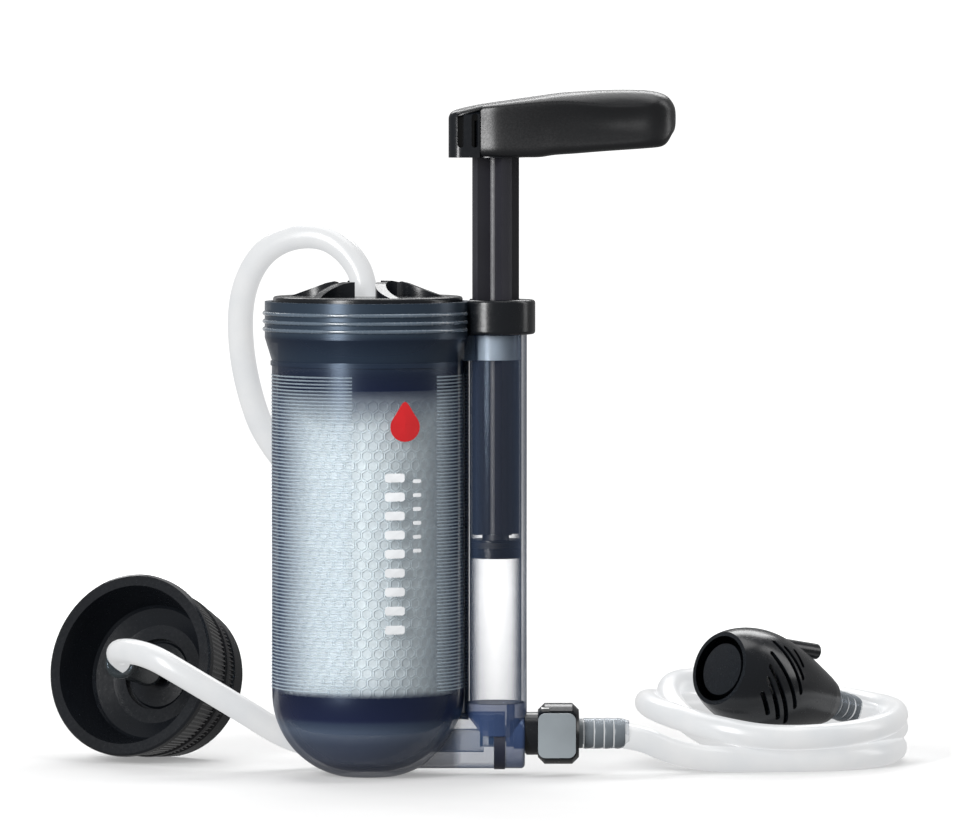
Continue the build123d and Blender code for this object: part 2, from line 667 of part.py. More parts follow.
def main():
    os.makedirs("parts", exist_ok=True)
    strainer = prefilter_body()
    lead = inlet_hose_lead()
    tail = inlet_hose_tail()
    pieces = {
        "filter_housing": filter_housing(),
        "foot_seal_ring": foot_seal_ring(),
        "valve_block": valve_block(),
        "outlet_valve_cage": outlet_valve_cage(),
        "outlet_valve_disc": valve_disc(35.9, FOOT_END - GAP),
        "inlet_valve_disc": valve_disc(42.2, 43.4 - GAP),
        "cartridge_top_cap": cartridge_top_cap(),
        "cartridge_o_ring": tube(4.18, 3.25, 122.1, 123.5),
        "cartridge_bottom_cap": cartridge_bottom_cap(),
        "pleated_media": pleated_media(),
        "protector_sleeve": protector_sleeve(),
        "carbon_core": carbon_core(),
        "core_tube": core_tube(),
        "outlet_barb": outlet_barb(),
        "outlet_o_ring": outlet_o_ring(),
        "housing_cap": housing_cap(),
        "cap_gasket": cap_gasket(),
        "pump_cylinder": pump_cylinder(),
        "pump_top_cap": pump_top_cap(),
        "rod_guide": rod_guide(),
        "rod_wiper": rod_wiper(),
        "piston_head": piston_head(),
        "piston_o_ring": piston_o_ring(),
        "piston_rod": piston_rod(),
        "handle_core": handle_core(),
        "handle_grip": handle_grip(),
        "handle_screw": handle_screw(),
        "connector_body": connector_body(),
        "thumb_latch": thumb_latch(),
        "latch_spring": latch_spring(),
        "hose_insert": hose_insert(),
        "insert_o_ring": insert_o_ring(),
        "adapter_cup": adapter_cup(),
        "adapter_barb": adapter_barb(),
        "adapter_gasket": adapter_gasket(),
        "prefilter_body": strainer,
        "prefilter_weight": prefilter_weight(),
        "prefilter_screen": prefilter_screen(),
        "prefilter_barb": prefilter_barb(),
        "prefilter_float_peg": prefilter_float_peg(strainer),
        "outlet_hose": outlet_hose(),
        "inlet_hose_lead": lead,
        "inlet_hose_tail": tail,
        "inlet_hose_coil": inlet_hose_coil(lead, tail, strainer),
    }
    for node, shape in pieces.items():
        write(shape, node)


main()
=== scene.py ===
from math import asin, cos, pi, radians, sin, sqrt

import bpy
from mathutils import Matrix, Vector


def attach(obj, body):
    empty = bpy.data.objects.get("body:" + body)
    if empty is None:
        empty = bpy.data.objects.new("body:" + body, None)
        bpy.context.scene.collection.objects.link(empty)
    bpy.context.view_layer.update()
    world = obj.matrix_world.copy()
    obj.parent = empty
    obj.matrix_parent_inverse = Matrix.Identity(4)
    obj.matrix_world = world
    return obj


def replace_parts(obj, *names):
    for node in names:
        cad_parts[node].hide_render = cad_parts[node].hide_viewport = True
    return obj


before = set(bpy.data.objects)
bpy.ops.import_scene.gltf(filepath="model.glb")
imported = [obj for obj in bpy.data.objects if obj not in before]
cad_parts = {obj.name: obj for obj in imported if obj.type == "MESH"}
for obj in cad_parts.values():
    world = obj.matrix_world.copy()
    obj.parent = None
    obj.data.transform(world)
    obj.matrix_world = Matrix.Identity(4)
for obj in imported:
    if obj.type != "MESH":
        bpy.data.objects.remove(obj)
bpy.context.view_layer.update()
MM = 0.001

# ---------------------------------------------------------------- camera

camera_data = bpy.data.cameras.new("camera")
camera_data.sensor_width = 36.0
camera_data.lens = 275.8
camera_data.clip_end = 20.0
camera = bpy.data.objects.new("camera", camera_data)
camera.location = (0.0323, -2.170, 0.2067)
camera.rotation_euler = (radians(90 - 2.616), 0, 0)
bpy.context.scene.collection.objects.link(camera)
bpy.context.scene.camera = camera
bpy.context.scene.view_settings.view_transform = "Standard"


# ---------------------------------------------------------------- materials

def new_material(name):
    material = bpy.data.materials.new(name)
    material.use_nodes = True
    tree = material.node_tree
    return material, tree, tree.nodes["Principled BSDF"]


def object_noise(tree, scale, detail=4.0, stretch=(1, 1, 1)):
    coords = tree.nodes.new("ShaderNodeTexCoord")
    mapping = tree.nodes.new("ShaderNodeMapping")
    mapping.inputs["Scale"].default_value = stretch
    noise = tree.nodes.new("ShaderNodeTexNoise")
    noise.inputs["Scale"].default_value = scale
    noise.inputs["Detail"].default_value = detail
    tree.links.new(coords.outputs["Object"], mapping.inputs["Vector"])
    tree.links.new(mapping.outputs["Vector"], noise.inputs["Vector"])
    return noise


def ramp(tree, source, stops):
    node = tree.nodes.new("ShaderNodeValToRGB")
    elements = node.color_ramp.elements
    while len(elements) < len(stops):
        elements.new(0.5)
    for element, (place, colour) in zip(elements, stops):
        element.position = place
        element.color = colour if len(colour) == 4 else (*colour, 1)
    tree.links.new(source, node.inputs["Fac"])
    return node


def grey(value):
    return (value, value, value)


def bump(tree, shader, height, distance, strength=1.0):
    node = tree.nodes.new("ShaderNodeBump")
    node.inputs["Distance"].default_value = distance
    node.inputs["Strength"].default_value = strength
    tree.links.new(height, node.inputs["Height"])
    tree.links.new(node.outputs["Normal"], shader.inputs["Normal"])


def moulded(name, colour, rough=(0.3, 0.42), grain=900, depth=0.00001, coat=0.0, specular=0.5):
    """Moulded plastic: slight mottling in tone and gloss, and a fine grain."""
    material, tree, shader = new_material(name)
    tone = object_noise(tree, 60)
    dark = tuple(part * 0.85 for part in colour)
    light = tuple(min(1.0, part * 1.12) for part in colour)
    tree.links.new(ramp(tree, tone.outputs["Fac"], [(0.3, dark), (0.7, light)]).outputs["Color"],
                   shader.inputs["Base Color"])
    fine = object_noise(tree, grain, 6.0)
    tree.links.new(ramp(tree, fine.outputs["Fac"], [(0.3, grey(rough[0])), (0.7, grey(rough[1]))])
                   .outputs["Color"], shader.inputs["Roughness"])
    shader.inputs["Specular IOR Level"].default_value = specular
    shader.inputs["Coat Weight"].default_value = coat
    shader.inputs["Coat Roughness"].default_value = 0.2
    bump(tree, shader, fine.outputs["Fac"], depth)
    return material


def edge_alpha(tree, centre, middle, edge):
    """Tinted sheet is denser where it is seen edge on."""
    layer = tree.nodes.new("ShaderNodeLayerWeight")
    layer.inputs["Blend"].default_value = 0.5
    stops = [(0.0, grey(centre)), (0.2, grey(centre * 0.75 + middle * 0.25)), (0.45, grey(middle)),
             (0.85, grey(edge))]
    return ramp(tree, layer.outputs["Facing"], stops).outputs["Color"]


def tinted(name, colour, centre, middle, edge, rough=0.16, coat=0.0):
    """See-through tinted plastic with a faint flow ripple."""
    material, tree, shader = new_material(name)
    noise = object_noise(tree, 40)
    low = tuple(part * 0.9 for part in colour)
    tone = ramp(tree, noise.outputs["Fac"], [(0.3, low), (0.7, colour)])
    tree.links.new(tone.outputs["Color"], shader.inputs["Base Color"])
    tree.links.new(edge_alpha(tree, centre, middle, edge), shader.inputs["Alpha"])
    shader.inputs["Roughness"].default_value = rough
    shader.inputs["IOR"].default_value = 1.5
    shader.inputs["Specular Tint"].default_value = TINT
    shader.inputs["Coat Weight"].default_value = coat
    ripple = object_noise(tree, 60, 1.0)
    bump(tree, shader, ripple.outputs["Fac"], 0.00003, 0.3)
    return material


def maths(tree, operation, first, second):
    node = tree.nodes.new("ShaderNodeMath")
    node.operation = operation
    for socket, value in zip(node.inputs, (first, second)):
        if isinstance(value, (int, float)):
            socket.default_value = value
        else:
            tree.links.new(value, socket)
    return node.outputs[0]


def housing_material():
    """The tinted shell: clear at the barrel and along the foot, dense at the collar and dome, with a painted
    light band on the dome and a painted shade line below the collar beads.
    """
    material, tree, shader = new_material("tinted_housing")
    coords = tree.nodes.new("ShaderNodeTexCoord")
    parts = tree.nodes.new("ShaderNodeSeparateXYZ")
    tree.links.new(coords.outputs["Object"], parts.inputs["Vector"])
    height = maths(tree, "DIVIDE", parts.outputs["Z"], TONE_HEIGHT)
    outward = maths(tree, "DIVIDE", parts.outputs["X"], TONE_REACH)
    foot = ramp(tree, outward, [(0.50, grey(0)), (0.56, grey(1))]).outputs["Color"]
    low = ramp(tree, height, [(0.133, grey(1)), (0.14, grey(0))]).outputs["Color"]
    share = maths(tree, "MULTIPLY", foot, low)
    tone = ramp(tree, height, HOUSING_TONE_AND_PAINTED_LIGHT).outputs["Color"]
    mix = tree.nodes.new("ShaderNodeMix")
    mix.data_type = "RGBA"
    factor, first_colour, second_colour, mixed = mix.inputs[0], mix.inputs[6], mix.inputs[7], mix.outputs[2]
    tree.links.new(share, factor)
    tree.links.new(tone, first_colour)
    second_colour.default_value = FOOT_TONE
    tree.links.new(mixed, shader.inputs["Base Color"])
    dense = ramp(tree, height, HOUSING_DENSE).outputs["Color"]
    clear = maths(tree, "SUBTRACT", 1.0, share)
    dense = maths(tree, "MULTIPLY", dense, clear)
    dense = maths(tree, "ADD", dense, maths(tree, "MULTIPLY", share, FOOT_DENSE))
    alpha = maths(tree, "MAXIMUM", edge_alpha(tree, 0.045, 0.42, 0.96), dense)
    tree.links.new(alpha, shader.inputs["Alpha"])
    shader.inputs["Roughness"].default_value = 0.3
    shader.inputs["IOR"].default_value = 1.5
    shader.inputs["Specular Tint"].default_value = TINT
    ripple = object_noise(tree, 60, 1.0)
    bump(tree, shader, ripple.outputs["Fac"], 0.00003, 0.3)
    return material


def rubber(name, colour):
    return moulded(name, colour, (0.5, 0.68), 1400, 0.00003)


def hose_material():
    """Milky hose, with a painted glow: an even emission that lifts its shaded side."""
    material, tree, shader = new_material("milky_hose")
    noise = object_noise(tree, 90, 3.0)
    tone = ramp(tree, noise.outputs["Fac"], [(0.3, (0.15, 0.155, 0.16)), (0.7, (0.18, 0.185, 0.19))])
    painted_glow = ramp(tree, noise.outputs["Fac"], [(0.3, (0.94, 0.96, 0.98)), (0.7, (1.0, 1.0, 1.0))])
    tree.links.new(tone.outputs["Color"], shader.inputs["Base Color"])
    tree.links.new(painted_glow.outputs["Color"], shader.inputs["Emission Color"])
    # painted glow: emission that stands in for light on the hose's shaded side and edges
    shader.inputs["Emission Strength"].default_value = 0.58
    shader.inputs["Roughness"].default_value = 0.3
    shader.inputs["IOR"].default_value = 1.42
    shader.inputs["Coat Weight"].default_value = 0.2
    shader.inputs["Coat Roughness"].default_value = 0.15
    fine = object_noise(tree, 500, 2.0)
    bump(tree, shader, fine.outputs["Fac"], 0.00001)
    return material


def steel_material():
    material, tree, shader = new_material("stainless")
    brushed = object_noise(tree, 300, 4.0, (1, 1, 12))
    tree.links.new(ramp(tree, brushed.outputs["Fac"], [(0.3, grey(0.22)), (0.7, grey(0.4))]).outputs["Color"],
                   shader.inputs["Roughness"])
    shader.inputs["Base Color"].default_value = (0.6, 0.61, 0.62, 1)
    shader.inputs["Metallic"].default_value = 1.0
    bump(tree, shader, brushed.outputs["Fac"], 0.00002)
    return material


def paper_material(name, colour, painted_glow):
    """Fibrous filter sheet, with a painted glow of its own colour at the given strength."""
    material, tree, shader = new_material(name)
    fibre = object_noise(tree, 700, 8.0)
    low = tuple(part * 0.85 for part in colour)
    tone = ramp(tree, fibre.outputs["Fac"], [(0.3, low), (0.7, colour)])
    tree.links.new(tone.outputs["Color"], shader.inputs["Base Color"])
    tree.links.new(tone.outputs["Color"], shader.inputs["Emission Color"])
    shader.inputs["Emission Strength"].default_value = painted_glow
    shader.inputs["Roughness"].default_value = 0.8
    bump(tree, shader, fibre.outputs["Fac"], 0.0001)
    return material


TINT = (0.62, 0.78, 1.0, 1)
TONE_HEIGHT, TONE_REACH = 0.15, 0.05    # metres that one unit of the shell's tone ramps covers
FOOT_TONE, FOOT_DENSE = (0.060, 0.110, 0.220, 1), 0.34
# shell tone by height: the shell's own navy and the cartridge caps behind it, a darker line near 4 mm at the
# dome's foot, a lighter band near 15 mm on the dome as painted light, and a dark line near 130 mm just below
# the collar beads as painted shade
HOUSING_TONE_AND_PAINTED_LIGHT = [
    (0.0, (0.035, 0.045, 0.085)), (0.026, (0.020, 0.026, 0.055)), (0.036, (0.042, 0.054, 0.094)),
    (0.072, (0.046, 0.062, 0.105)), (0.098, (0.085, 0.115, 0.175)), (0.112, (0.045, 0.065, 0.11)),
    (0.122, (0.010, 0.014, 0.045)), (0.166, (0.006, 0.009, 0.030)), (0.18, (0.020, 0.035, 0.080)),
    (0.75, (0.018, 0.030, 0.070)), (0.775, (0.008, 0.012, 0.035)), (0.80, (0.010, 0.015, 0.035)),
    (0.83, (0.016, 0.026, 0.044)), (0.87, (0.008, 0.013, 0.026)), (0.88, (0.024, 0.036, 0.054)),
    (1.0, (0.022, 0.034, 0.050))]
HOUSING_DENSE = [
    (0.0, grey(0.66)), (0.11, grey(0.60)), (0.12, grey(0.80)), (0.164, grey(0.80)), (0.178, grey(0.16)),
    (0.22, grey(0.04)), (0.62, grey(0.04)), (0.70, grey(0.14)), (0.755, grey(0.44)), (0.775, grey(0.70)),
    (0.80, grey(0.70)), (0.815, grey(0.86)), (1.0, grey(0.82))]

BLACK = moulded("black_plastic", (0.0058, 0.0070, 0.0092), (0.20, 0.28), 1100, 0.000003, specular=0.4)
GRIP = moulded("grip_plastic", (0.0040, 0.0044, 0.0054), (0.32, 0.42), 1900, 0.000016, specular=0.5)
GREY = moulded("grey_plastic", (0.24, 0.27, 0.29), (0.38, 0.48), 1000, 0.000008)
NAVY = moulded("navy_plastic", (0.008, 0.013, 0.042), (0.3, 0.4), 800, 0.000005)
SEAL = rubber("seal_rubber", (0.008, 0.008, 0.009))
DARK_SEAL = rubber("foot_seal", (0.006, 0.009, 0.024))
BUSH = moulded("pale_bush", (0.42, 0.50, 0.58), (0.35, 0.45), 800, 0.000005)
CARBON = moulded("pressed_carbon", (0.02, 0.02, 0.02), (0.7, 0.85), 2000, 0.0001)
STEEL = steel_material()
HOSE = hose_material()
PAPER = paper_material("pleated_paper", (0.60, 0.70, 0.80), 0.0)
# the sleeve's 0.14 glow is a painted glow that lightens the barrel seen through the shell
SLEEVE = paper_material("sleeve_mesh", (0.80, 0.88, 0.91), 0.14)
HOUSING = housing_material()
# the ribs are the shell's own tinted plastic; their pale colour is a painted highlight
RIBS_PAINTED_HIGHLIGHT = tinted("rib_skin_painted_highlight", (0.60, 0.72, 0.80), 0.30, 0.42, 0.56, 0.2)
# the beads are the collar's own plastic; their paler colour is partly a painted sheen, partly real gloss from
# the coat
BEAD = moulded("collar_bead", (0.085, 0.115, 0.150), (0.22, 0.3), 700, 0.000002, coat=1.0)
CYLINDER = tinted("pump_tube", (0.055, 0.080, 0.140), 0.085, 0.50, 0.96, 0.1)
WEB = tinted("pump_web", (0.045, 0.065, 0.120), 0.80, 0.88, 0.94, 0.25)
BLOCK = tinted("valve_block", (0.045, 0.075, 0.170), 0.62, 0.80, 0.96, 0.12)
CLEAR_HOSE = tinted("stretched_hose", (0.36, 0.40, 0.44), 0.20, 0.34, 0.62, 0.14)
# dark see-through hose: a painted shade over the hose's end in the adapter cup
DARK_HOSE = tinted("shaded_hose", (0.030, 0.036, 0.038), 0.60, 0.75, 0.92, 0.12)
ROD = moulded("rod_plastic", (0.020, 0.020, 0.026), (0.34, 0.42), 900, 0.000003)
GLOSS = moulded("gloss_black", (0.0042, 0.0047, 0.0058), (0.14, 0.2), 1100, 0.000002, coat=0.4)
BARB_BAND = moulded("barb_band", (0.115, 0.135, 0.150), (0.3, 0.4), 900, 0.000005)
DARK_BAND = moulded("dark_barb_band", (0.030, 0.034, 0.038), (0.3, 0.4), 900, 0.000005)
WHITE_INK = moulded("white_ink", (0.80, 0.82, 0.84), (0.4, 0.5), 600, 0.000003)
RED_INK = moulded("coral_ink", (0.56, 0.012, 0.016), (0.4, 0.5), 600, 0.000003)

NODE_MATERIALS = {
    "filter_housing": HOUSING, "foot_seal_ring": DARK_SEAL, "valve_block": BLOCK,
    "outlet_valve_cage": NAVY, "outlet_valve_disc": NAVY, "inlet_valve_disc": NAVY,
    "cartridge_top_cap": NAVY, "cartridge_o_ring": SEAL, "cartridge_bottom_cap": NAVY,
    "pleated_media": PAPER, "protector_sleeve": SLEEVE, "carbon_core": CARBON, "core_tube": BUSH,
    "outlet_barb": BLACK, "outlet_o_ring": SEAL, "housing_cap": BLACK, "cap_gasket": SEAL,
    "pump_cylinder": CYLINDER, "pump_top_cap": BLACK, "rod_guide": BUSH, "rod_wiper": SEAL,
    "piston_head": BLACK, "piston_o_ring": SEAL, "piston_rod": ROD, "handle_core": BLACK,
    "handle_grip": GRIP, "handle_screw": STEEL, "connector_body": BLACK, "thumb_latch": GREY,
    "latch_spring": STEEL, "hose_insert": GREY, "insert_o_ring": SEAL, "adapter_cup": BLACK,
    "adapter_barb": BLACK, "adapter_gasket": SEAL, "prefilter_body": BLACK,
    "prefilter_weight": BLACK, "prefilter_screen": STEEL, "prefilter_barb": BLACK,
    "prefilter_float_peg": BLACK,
}
for node, material in NODE_MATERIALS.items():
    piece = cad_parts[node]
    piece.data.materials.clear()
    piece.data.materials.append(material)


# ---------------------------------------------------------------- helpers

def mesh_piece(name, points, faces, material, body, smooth=True):
    mesh = bpy.data.meshes.new(name)
    mesh.from_pydata([tuple(point) for point in points], [], faces)
    mesh.update()
    mesh.polygons.foreach_set("use_smooth", [smooth] * len(mesh.polygons))
    mesh.materials.append(material)
    piece = bpy.data.objects.new(name, mesh)
    bpy.context.scene.collection.objects.link(piece)
    if body:
        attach(piece, body)
    return piece


def grid_faces(rows, columns, closed_rows=False, closed_columns=True):
    faces = []
    for row in range(rows if closed_rows else rows - 1):
        for column in range(columns if closed_columns else columns - 1):
            after, beside = (row + 1) % rows, (column + 1) % columns
            faces.append((row * columns + column, row * columns + beside,
                          after * columns + beside, after * columns + column))
    return faces


def capped_faces(rows, columns):
    """Faces of a closed loft, with a cap at each end."""
    last = (rows - 1) * columns
    return grid_faces(rows, columns) + [tuple(reversed(range(columns))),
                                        tuple(last + corner for corner in range(columns))]


def shifted(faces, base):
    return [tuple(base + corner for corner in face) for face in faces]


def round_axis(reach, turn, level):
    """A point in metres at a reach, turn and level round the vertical axis, from mm."""
    return (reach * cos(turn) * MM, reach * sin(turn) * MM, level * MM)


def ring_points(outline, place, steps):
    """Rings turned from (radius, height) points in mm, and put in place."""
    return [place @ Vector(round_axis(radius, 2 * pi * step / steps, height))
            for radius, height in outline for step in range(steps)]


def axes_matrix(origin, axis, across):
    """Local Z along axis and local X along across, from an origin."""
    z = Vector(axis).normalized()
    x = Vector(across).normalized()
    y = z.cross(x)
    matrix = Matrix((x, y, z)).transposed().to_4x4()
    matrix.translation = Vector(origin)
    return matrix


def turned(name, outline, place, material, body, steps=72):
    """A closed ring turned from (radius, height) points in mm."""
    faces = grid_faces(len(outline), steps, closed_rows=True)
    return mesh_piece(name, ring_points(outline, place, steps), faces, material, body)


def hose_curve(name, points):
    """A free hose: one open NURBS spline with the route's points as its control points."""
    data = bpy.data.curves.new(name, "CURVE")
    data.dimensions = "3D"
    data.bevel_depth = HOSE_R * MM
    data.bevel_resolution = 8
    data.resolution_u = 10
    data.use_fill_caps = True
    spline = data.splines.new("NURBS")
    spline.points.add(len(points) - 1)
    for slot, point in zip(spline.points, points):
        slot.co = (point[0] * MM, point[1] * MM, point[2] * MM, 1)
    spline.order_u = 3
    spline.use_endpoint_u = True
    data.materials.append(HOSE)
    piece = bpy.data.objects.new(name, data)
    bpy.context.scene.collection.objects.link(piece)
    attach(piece, "housing")
    return piece


# ---------------------------------------------------------------- hoses

HOSE_R = 3.8
FLOW_Z = 12.4

tilt, turn = radians(14), radians(28)
cup_axis = Vector((-cos(tilt) * sin(turn), -cos(tilt) * cos(turn), sin(tilt)))
cup_lift = (Vector((0, 0, 1)) - cup_axis * sin(tilt)).normalized()
cup_rim = Vector((-62.8, 59.0, 0)) + cup_lift * 23.6 + cup_axis * 28.5
CUP = axes_matrix(cup_rim * MM, cup_axis, cup_lift.cross(cup_axis))

strainer_axis = Vector((-0.72, -0.637, 0.27)).normalized()
strainer_level = Vector((0, 0, 1)).cross(strainer_axis)
MOUTH = Vector((105.2, 15.5, 30.6))
STRAINER = axes_matrix(MOUTH * MM, strainer_axis, strainer_level)


def along(place, x, y, z):
    point = place @ Vector((x * MM, y * MM, z * MM))
    return (point.x / MM, point.y / MM, point.z / MM)


OUTLET_ROUTE = [
    (0, 0, 132.4), (-0.4, 0.3, 146.5), (-5.4, 2.0, 155.6), (-13.6, 5.0, 160.9), (-24.2, 9.0, 160.2),
    (-33.0, 13.5, 154.4), (-38.2, 18.0, 143.0), (-38.8, 22.0, 129.0), (-36.5, 26.0, 114.0),
    (-31.5, 30.5, 99.0), (-19.0, 37.0, 84.0), (-5.0, 43.0, 71.0), (9.0, 47.5, 58.5),
    (19.6, 50.0, 42.5), (22.0, 50.0, 24.6), (15.9, 46.1, 11.8), (5.4, 39.3, 4.5), (-9.0, 29.5, 4.6),
    (-24.0, 18.8, 8.8), (-39.0, 10.8, 19.2), (-54.0, 8.6, 28.4), (-66.5, 12.5, 35.4),
    along(CUP, 1.0, 2.5, 11.5), along(CUP, 0, 0.3, 1.0), along(CUP, 0, 0, -12.5),
]
outlet = hose_curve("outlet_hose_line", OUTLET_ROUTE)
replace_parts(outlet, "outlet_hose")

LEAD_ROUTE = [(64.2, 0, FLOW_Z), (78.6, 0, FLOW_Z), (91.6, 2.6, 6.0), (104.4, 6.0, 4.0), (118.0, 8.8, 3.85)]
TURNS_CENTRE = (122.0, 44.5)
TURNS = [    # angle in degrees, radius and height of the loose turns
    (-66, 36.2, 3.8), (-30, 37.6, 3.9), (0, 37.8, 4.4), (40, 37.8, 6.4), (75, 37.8, 9.5),
    (110, 37.8, 12.5), (145, 38.0, 16.0), (170, 38.1, 17.9), (190, 38.2, 17.9), (215, 38.6, 16.2),
    (240, 39.2, 13.4), (262, 39.6, 10.9), (280, 39.7, 10.5), (300, 39.2, 10.9), (330, 38.4, 12.6),
    (360, 38.0, 14.8), (400, 37.8, 15.8), (430, 37.8, 17.2), (460, 37.6, 20.4), (480, 37.0, 22.2),
    (500, 35.2, 22.6), (520, 32.6, 21.8), (540, 30.9, 18.8), (560, 30.2, 15.5), (585, 29.6, 10.2),
    (615, 28.8, 6.0), (650, 28.8, 4.2), (676, 30.4, 6.0), (696, 33.6, 8.4), (712, 36.8, 9.6),
]


def between(value, table):
    """The radius and height of the loose turns at an angle."""
    for (a, radius_a, height_a), (b, radius_b, height_b) in zip(table, table[1:]):
        if value <= b:
            share = (value - a) / (b - a)
            return radius_a + (radius_b - radius_a) * share, height_a + (height_b - height_a) * share
    return table[-1][1:]


COIL_POINTS = 53
coil_points = []
for step in range(COIL_POINTS):
    angle = -66 + step * 778 / (COIL_POINTS - 1)
    radius, height = between(angle, TURNS)
    coil_points.append((TURNS_CENTRE[0] + radius * cos(radians(angle)),
                        TURNS_CENTRE[1] + radius * sin(radians(angle)), height))
TAIL_ROUTE = [(160.6, 47.0, 10.4), (157.4, 54.6, 12.0),
              along(STRAINER, 0, 0, -61.5), along(STRAINER, 0, 0, -46.3)]
inlet = hose_curve("inlet_hose_line", LEAD_ROUTE + coil_points + TAIL_ROUTE)
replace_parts(inlet, "inlet_hose_lead", "inlet_hose_coil", "inlet_hose_tail")


def barb_bands(name, place, material):
    """Four ridges of a barb, seen through the hose stretched over them."""
    points, faces = [], []
    steps = 64
    for start, end in ((0.2, 3.0), (3.3, 5.95), (6.3, 8.85), (9.2, 12.4)):
        middle = (start + end) / 2
        outline = [(3.82, start), (4.28, start), (4.42, start + 0.35), (4.36, middle), (4.2, end - 0.3),
                   (4.0, end), (3.82, end)]
        faces += shifted(grid_faces(len(outline), steps, closed_rows=True), len(points))
        points += ring_points(outline, place, steps)
    return mesh_piece(name, points, faces, material, "housing", smooth=False)


SLEEVE_SHAPE = [(3.35, 0.0), (4.45, 0.0), (4.62, 0.3), (4.5, 2.2), (4.62, 3.4), (4.48, 5.6), (4.62, 6.8),
                (4.46, 9.0), (4.6, 10.2), (4.35, 11.8), (3.95, 12.9), (3.84, 13.6), (3.35, 13.6)]
lead_place = axes_matrix((0.0642, 0, 0.0124), (1, 0, 0), (0, 1, 0))
lead_end = turned("inlet_hose_end", SLEEVE_SHAPE, lead_place, CLEAR_HOSE, "housing")
tail_place = axes_matrix(STRAINER @ Vector((0, 0, -0.0463)), -strainer_axis, strainer_level)
tail_end = turned("strainer_hose_end", SLEEVE_SHAPE, tail_place, CLEAR_HOSE, "housing")
lead_bands = barb_bands("insert_barb_bands", lead_place, BARB_BAND)
tail_bands = barb_bands("strainer_barb_bands", tail_place, DARK_BAND)
# a dark sleeve over the hose's last part inside the cup, as painted shade where the hose turns into the hole
cup_end = turned("adapter_hose_end", [(3.85, -12.4), (4.5, -12.4), (4.6, -11.8), (4.62, -1.0), (5.0, 3.0),
                                      (5.2, 5.2), (5.0, 5.8), (3.85, 5.8)], CUP, DARK_HOSE, "housing")


# ---------------------------------------------------------------- housing details

WINDOW = (-98.5, -44.2)    # degrees round the barrel that the smooth window takes up
BARREL_R = 28.7
RIB_COUNT, RIB_START, RIB_PITCH = 92, 26.4, 1.02
COLLAR_R, BEAD_R = 30.75, 0.62
BEAD_LEVELS = (137.8, 135.4, 133.1)
NET_R, NET_COLUMNS, NET_START, NET_HEIGHT = 25.72, 48, 26.5, 88


def ribbed_skin():
    """Fine level ribs round the barrel, with a smooth window left open at the front, coloured pale as a
    painted highlight.
    """
    start, end = radians(WINDOW[1]), radians(WINDOW[0] + 360)
    steps = 120
    points, faces = [], []
    strip = grid_faces(4, steps + 1, closed_columns=False)
    for index in range(RIB_COUNT):
        height = RIB_START + index * RIB_PITCH
        faces += shifted(strip, len(points))
        for radius, level in ((28.58, height), (28.86, height + 0.16), (28.86, height + 0.34),
                              (28.58, height + 0.5)):
            for step in range(steps + 1):
                points.append(round_axis(radius, start + (end - start) * step / steps, level))
    mesh_piece("barrel_ribs", points, faces, RIBS_PAINTED_HIGHLIGHT, "housing", smooth=False)


def collar_beads():
    """Rounded thread-like rings round the collar, open where the pump's cap stands, paler than the collar as
    a painted sheen on top of their real gloss.
    """
    points, faces = [], []
    steps, sides = 110, 10
    for level in BEAD_LEVELS:
        base = len(points)
        for step in range(steps + 1):
            turn = radians(19 + 322 * step / steps)
            for side in range(sides):
                around = 2 * pi * side / sides
                reach = COLLAR_R + BEAD_R * cos(around)
                points.append(round_axis(reach, turn, level + BEAD_R * sin(around)))
        faces += shifted(grid_faces(steps + 1, sides), base)
        faces += [tuple(base + side for side in range(sides)),
                  tuple(base + steps * sides + side for side in reversed(range(sides)))]
    mesh_piece("collar_beads", points, faces, BEAD, "housing")


def pump_web():
    """The moulded web that joins the barrel to the pump tube, hollowed on both faces."""
    section = ((0.0, 4.3), (0.26, 2.6), (0.52, 1.7), (0.76, 2.5), (1.0, 4.0))
    right = 30.0
    points = []
    levels = [(16.8, 25.2), (18.5, 25.9), (20.5, 26.6), (23.0, 27.2), (26.0, 27.5)]
    levels += [(26.0 + step * 14.0, 27.5) for step in range(1, 8)]
    for level, left in levels:
        half = [(left + (right - left) * share, thick) for share, thick in section]
        ring = half + [(x, -y) for x, y in reversed(half)]
        points += [(x * MM, y * MM, level * MM) for x, y in ring]
    mesh_piece("pump_web", points, capped_faces(len(levels), 2 * len(section)), WEB, "housing")


def hexagon_net():
    """Hexagonal net moulded on the cartridge's protector."""
    points, faces = [], []
    pitch = 2 * pi * NET_R / NET_COLUMNS
    side = pitch / sqrt(3)
    rows = int(NET_HEIGHT / (side * 1.5))
    for row in range(rows):
        level = NET_START + row * side * 1.5
        for column in range(NET_COLUMNS):
            middle = (column + 0.5 * (row % 2)) * pitch
            base = len(points)
            for size, depth in ((0.97, 0.0), (0.86, 0.28), (0.74, 0.28), (0.66, 0.0)):
                for corner in range(6):
                    turn = pi / 6 + corner * pi / 3
                    sideways = (middle + side * size * cos(turn)) / NET_R
                    points.append(round_axis(NET_R + depth, sideways, level + side * size * sin(turn)))
            for ring in range(3):
                for corner in range(6):
                    here, beside = base + ring * 6 + corner, base + ring * 6 + (corner + 1) % 6
                    faces.append((here, beside, beside + 6, here + 6))
    mesh_piece("protector_net", points, faces, SLEEVE, "housing", smooth=False)


